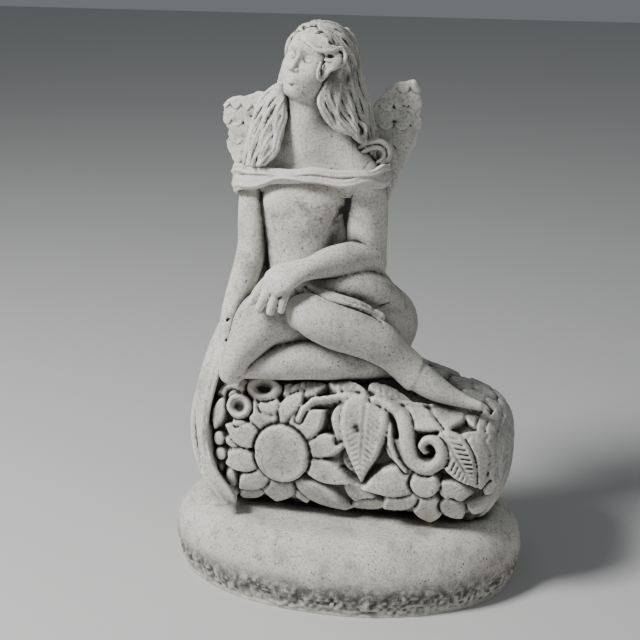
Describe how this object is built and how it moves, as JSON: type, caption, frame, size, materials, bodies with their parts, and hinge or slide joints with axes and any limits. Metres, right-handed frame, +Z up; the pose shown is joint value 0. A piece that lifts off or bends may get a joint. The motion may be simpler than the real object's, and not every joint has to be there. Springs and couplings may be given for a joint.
{
  "type": "garden statue",
  "caption": "Cast-stone garden statue of a winged girl seated on a flower-carved log, on an oval pebble-shaped base.",
  "frame": {"origin": "middle of the oval base's flat underside", "axes": "+Z up, X along the base and the log with the girl's feet towards +X, the statue's front towards -Y"},
  "size_m": [0.195, 0.14, 0.301],
  "materials": {
    "cast_stone_figure": "matt light warm-grey cast stone with a dark wash left in the carving",
    "cast_stone_base": "matt light warm-grey cast stone, rough and pitted low on its edge"
  },
  "bodies": {
    "root": {"girl_on_log": "cast_stone_figure", "oval_base": "cast_stone_base"}
  },
  "joints": []
}
